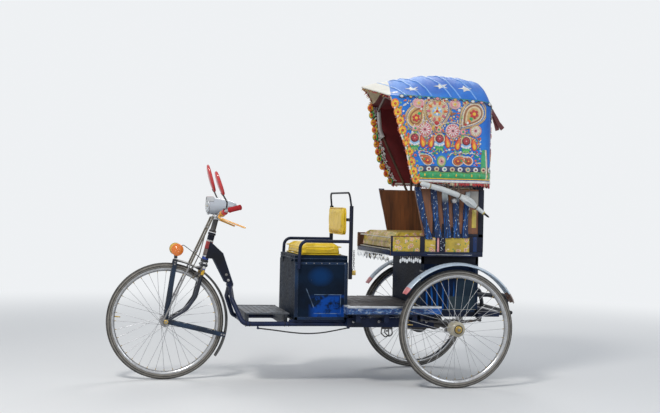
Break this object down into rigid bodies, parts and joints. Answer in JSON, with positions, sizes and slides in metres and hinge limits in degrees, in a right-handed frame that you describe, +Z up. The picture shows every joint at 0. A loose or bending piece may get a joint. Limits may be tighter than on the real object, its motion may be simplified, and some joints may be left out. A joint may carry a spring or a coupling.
{
  "type": "electric rickshaw",
  "caption": "Battery-driven passenger cycle rickshaw with a cloth hood, bench seat, driver's box seat, spoked wheels, sprung rear axle and a steered fork.",
  "frame": {"origin": "on the ground, in the middle of the length and of the width", "axes": "+X forward, +Y to the vehicle's left, +Z up"},
  "size_m": [2.4909, 1.06, 1.9299],
  "materials": {
    "frame_paint": "dark blue gloss paint, worn",
    "floor_sheet": "bare sheet, scratched",
    "box_paint": "navy gloss paint with plain bands",
    "footboard_paint": "blue and white paint, light edge trim",
    "seat_box_paint": "navy paint with blue stripes",
    "battery_plastic": "black",
    "yellow_vinyl": "yellow coated cloth",
    "seat_vinyl": "yellow floral coated cloth",
    "side_wood": "brown board with blue painted slats",
    "hood_cloth": "bright blue cloth with sewn coloured shapes",
    "bow_cane": "split cane",
    "rain_sheet": "white sheet, rolled",
    "guard_paint": "silver blue, rusty at the rear",
    "dark_paint": "near black, satin",
    "bare_steel": "greasy dark steel",
    "motor_case": "dark, dusty",
    "fork_paint": "near black gloss",
    "chrome": "dull chrome",
    "wheel_steel": "plated steel, dusty",
    "tyre_rubber": "black tread, grey tan walls",
    "grip_rubber": "red",
    "lever_metal": "orange yellow",
    "amber_lens": "amber",
    "lamp_shell": "black",
    "lamp_glass": "clear",
    "mirror_shell": "red",
    "cable_black": "matt black"
  },
  "bodies": {
    "chassis": {"chassis_frame": "frame_paint", "neck": "frame_paint", "driver_floor": "floor_sheet", "driver_box": "box_paint", "battery_pack": "battery_plastic", "driver_rails": "frame_paint", "driver_backrest": "yellow_vinyl", "footboard": "footboard_paint", "seat_box": "seat_box_paint", "seat_frame": "frame_paint", "seat_cushion": "seat_vinyl", "back_frame": "frame_paint", "seat_back": "seat_vinyl", "side_panel_left": "side_wood", "side_panel_right": "side_wood", "hood": "hood_cloth", "hood_bows": "bow_cane", "rain_roll": "rain_sheet", "mudguard_rear_left": "guard_paint", "mudguard_rear_right": "guard_paint", "rear_axle": "bare_steel", "leaf_springs": "bare_steel", "drive_unit": "motor_case", "rear_bumper": "dark_paint", "loose_cable": "cable_black"},
    "seat_lid": {"driver_lid": "box_paint", "driver_cushion": "yellow_vinyl"},
    "steering": {"fork": "fork_paint", "front_axle": "bare_steel", "fork_rods": "chrome", "front_mudguard": "dark_paint", "indicators": "amber_lens", "handlebar": "chrome", "grips": "grip_rubber", "brake_levers": "lever_metal", "headlamp": "lamp_shell", "headlamp_glass": "lamp_glass", "mirror_left": "mirror_shell", "mirror_right": "mirror_shell"},
    "front_wheel": {"tyre_front": "tyre_rubber", "wheel_front": "wheel_steel"},
    "rear_wheel_left": {"tyre_rear_left": "tyre_rubber", "wheel_rear_left": "wheel_steel"},
    "rear_wheel_right": {"tyre_rear_right": "tyre_rubber", "wheel_rear_right": "wheel_steel"}
  },
  "joints": [
    {"name": "steer", "type": "hinge", "parent": "chassis", "child": "steering", "pos_m": [0.70075, 0, 0.56], "axis": [-0.2453, 0, 0.9694], "range_deg": [-45, 45]},
    {"name": "front_wheel_spin", "type": "hinge", "parent": "steering", "child": "front_wheel", "pos_m": [0.89075, 0, 0.3575], "axis": [0, 1, 0], "continuous": true},
    {"name": "rear_left_spin", "type": "hinge", "parent": "chassis", "child": "rear_wheel_left", "pos_m": [-0.81825, 0.47, 0.3575], "axis": [0, 1, 0], "continuous": true},
    {"name": "rear_right_spin", "type": "hinge", "parent": "chassis", "child": "rear_wheel_right", "pos_m": [-0.81825, -0.47, 0.3575], "axis": [0, 1, 0], "continuous": true},
    {"name": "lid_hinge", "type": "hinge", "parent": "chassis", "child": "seat_lid", "pos_m": [0.14575, 0, 0.747], "axis": [0, 1, 0], "range_deg": [0, 100]}
  ]
}
